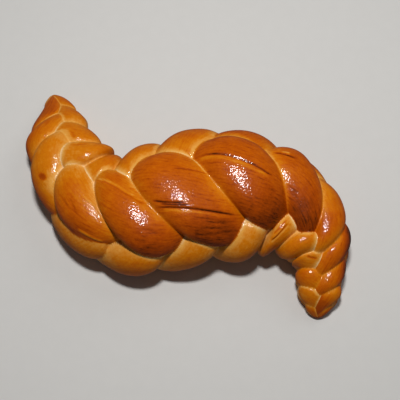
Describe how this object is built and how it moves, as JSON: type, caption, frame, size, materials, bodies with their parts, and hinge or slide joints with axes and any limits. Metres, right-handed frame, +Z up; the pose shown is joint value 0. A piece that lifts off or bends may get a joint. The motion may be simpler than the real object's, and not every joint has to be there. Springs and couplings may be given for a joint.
{
  "type": "braided loaf",
  "caption": "Braided bread loaf bent into an S: a round plait of swollen golden-brown lobes that tapers to a tip at each end and rests on a flat underside.",
  "frame": {"origin": "on the flat underside, below the middle of the loaf's bounding box", "axes": "+Z up; +X along the loaf's length, towards the tip at its lower right end seen from above; +Y towards the side that the other tip points to"},
  "size_m": [0.2941, 0.22, 0.0749],
  "materials": {
    "crust": "egg-washed crust baked golden brown, satin to glossy on the lobes and paler along the seams"
  },
  "bodies": {
    "root": {"loaf": "crust"}
  },
  "joints": []
}
